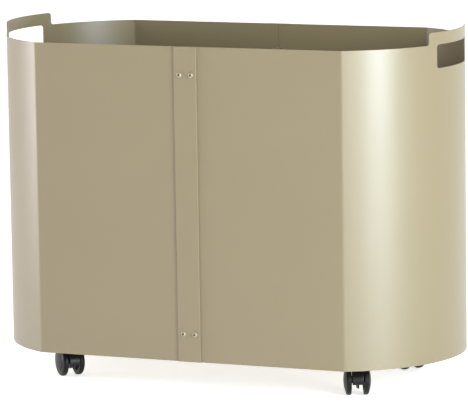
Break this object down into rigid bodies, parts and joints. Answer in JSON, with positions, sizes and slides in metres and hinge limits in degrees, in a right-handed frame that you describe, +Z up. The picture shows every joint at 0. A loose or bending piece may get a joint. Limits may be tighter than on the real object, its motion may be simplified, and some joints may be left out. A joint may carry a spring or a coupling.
{
  "type": "laundry sorter on wheels",
  "caption": "Sheet-metal laundry sorter with flat sides, rounded ends, a handle slot in each raised end and a divider inside, on swivelling twin-wheel casters.",
  "frame": {"origin": "middle of the footprint, on the floor that the casters stand on", "axes": "+X along the length towards the right-hand rounded end, +Y from the front seam strip to the back one, +Z up"},
  "size_m": [0.8, 0.4112, 0.596],
  "materials": {
    "powder_coat": "satin champagne powder coat, fine orange peel",
    "screw_steel": "bright stainless, turned heads",
    "zinc_steel": "zinc plated, dull",
    "caster_plastic": "black nylon, slightly glossy, moulded",
    "wheel_plastic": "black nylon discs, fine moulded grain",
    "tread": "black soft tread, matt",
    "washer_plastic": "natural nylon"
  },
  "bodies": {
    "tub": {"back_left_caster_plate": "zinc_steel", "back_left_kingpin": "zinc_steel", "back_left_retaining_ring": "zinc_steel", "back_left_thrust_washer": "washer_plastic", "back_right_caster_plate": "zinc_steel", "back_right_kingpin": "zinc_steel", "back_right_retaining_ring": "zinc_steel", "back_right_thrust_washer": "washer_plastic", "back_strip": "powder_coat", "back_strip_nuts": "powder_coat", "back_strip_screws": "screw_steel", "caster_nuts": "zinc_steel", "caster_studs": "zinc_steel", "divider": "powder_coat", "floor_joint_bolts": "zinc_steel", "floor_joint_nuts": "zinc_steel", "front_left_caster_plate": "zinc_steel", "front_left_kingpin": "zinc_steel", "front_left_retaining_ring": "zinc_steel", "front_left_thrust_washer": "washer_plastic", "front_right_caster_plate": "zinc_steel", "front_right_kingpin": "zinc_steel", "front_right_retaining_ring": "zinc_steel", "front_right_thrust_washer": "washer_plastic", "front_strip": "powder_coat", "front_strip_nuts": "powder_coat", "front_strip_screws": "screw_steel", "left_floor": "powder_coat", "left_shell": "powder_coat", "right_floor": "powder_coat", "right_shell": "powder_coat"},
    "front_left_swivel": {"front_left_caster_body": "caster_plastic", "front_left_axle": "zinc_steel"},
    "front_left_wheel_a": {"front_left_wheel_a": "wheel_plastic", "front_left_tyre_a": "tread"},
    "front_left_wheel_b": {"front_left_wheel_b": "wheel_plastic", "front_left_tyre_b": "tread"},
    "front_right_swivel": {"front_right_caster_body": "caster_plastic", "front_right_axle": "zinc_steel"},
    "front_right_wheel_a": {"front_right_wheel_a": "wheel_plastic", "front_right_tyre_a": "tread"},
    "front_right_wheel_b": {"front_right_wheel_b": "wheel_plastic", "front_right_tyre_b": "tread"},
    "back_left_swivel": {"back_left_caster_body": "caster_plastic", "back_left_axle": "zinc_steel"},
    "back_left_wheel_a": {"back_left_wheel_a": "wheel_plastic", "back_left_tyre_a": "tread"},
    "back_left_wheel_b": {"back_left_wheel_b": "wheel_plastic", "back_left_tyre_b": "tread"},
    "back_right_swivel": {"back_right_caster_body": "caster_plastic", "back_right_axle": "zinc_steel"},
    "back_right_wheel_a": {"back_right_wheel_a": "wheel_plastic", "back_right_tyre_a": "tread"},
    "back_right_wheel_b": {"back_right_wheel_b": "wheel_plastic", "back_right_tyre_b": "tread"}
  },
  "joints": [
    {"name": "front_left_swivel_turn", "type": "hinge", "parent": "tub", "child": "front_left_swivel", "pos_m": [-0.2637, -0.1196, 0.055], "axis": [0, 0, 1], "continuous": true},
    {"name": "front_left_wheel_a_spin", "type": "hinge", "parent": "front_left_swivel", "child": "front_left_wheel_a", "pos_m": [-0.25728, -0.12591, 0.025], "axis": [0.7009, 0.7133, 0], "continuous": true},
    {"name": "front_left_wheel_b_spin", "type": "hinge", "parent": "front_left_swivel", "child": "front_left_wheel_b", "pos_m": [-0.25728, -0.12591, 0.025], "axis": [0.7009, 0.7133, 0], "continuous": true},
    {"name": "front_right_swivel_turn", "type": "hinge", "parent": "tub", "child": "front_right_swivel", "pos_m": [0.2637, -0.1196, 0.055], "axis": [0, 0, 1], "continuous": true},
    {"name": "front_right_wheel_a_spin", "type": "hinge", "parent": "front_right_swivel", "child": "front_right_wheel_a", "pos_m": [0.26763, -0.1277, 0.025], "axis": [0.8996, 0.4368, 0], "continuous": true},
    {"name": "front_right_wheel_b_spin", "type": "hinge", "parent": "front_right_swivel", "child": "front_right_wheel_b", "pos_m": [0.26763, -0.1277, 0.025], "axis": [0.8996, 0.4368, 0], "continuous": true},
    {"name": "back_left_swivel_turn", "type": "hinge", "parent": "tub", "child": "back_left_swivel", "pos_m": [-0.2637, 0.1196, 0.055], "axis": [0, 0, 1], "continuous": true},
    {"name": "back_left_wheel_a_spin", "type": "hinge", "parent": "back_left_swivel", "child": "back_left_wheel_a", "pos_m": [-0.25816, 0.11251, 0.025], "axis": [0.788, 0.6157, 0], "continuous": true},
    {"name": "back_left_wheel_b_spin", "type": "hinge", "parent": "back_left_swivel", "child": "back_left_wheel_b", "pos_m": [-0.25816, 0.11251, 0.025], "axis": [0.788, 0.6157, 0], "continuous": true},
    {"name": "back_right_swivel_turn", "type": "hinge", "parent": "tub", "child": "back_right_swivel", "pos_m": [0.2637, 0.1196, 0.055], "axis": [0, 0, 1], "continuous": true},
    {"name": "back_right_wheel_a_spin", "type": "hinge", "parent": "back_right_swivel", "child": "back_right_wheel_a", "pos_m": [0.27069, 0.11394, 0.025], "axis": [0.6293, 0.7771, 0], "continuous": true},
    {"name": "back_right_wheel_b_spin", "type": "hinge", "parent": "back_right_swivel", "child": "back_right_wheel_b", "pos_m": [0.27069, 0.11394, 0.025], "axis": [0.6293, 0.7771, 0], "continuous": true}
  ]
}
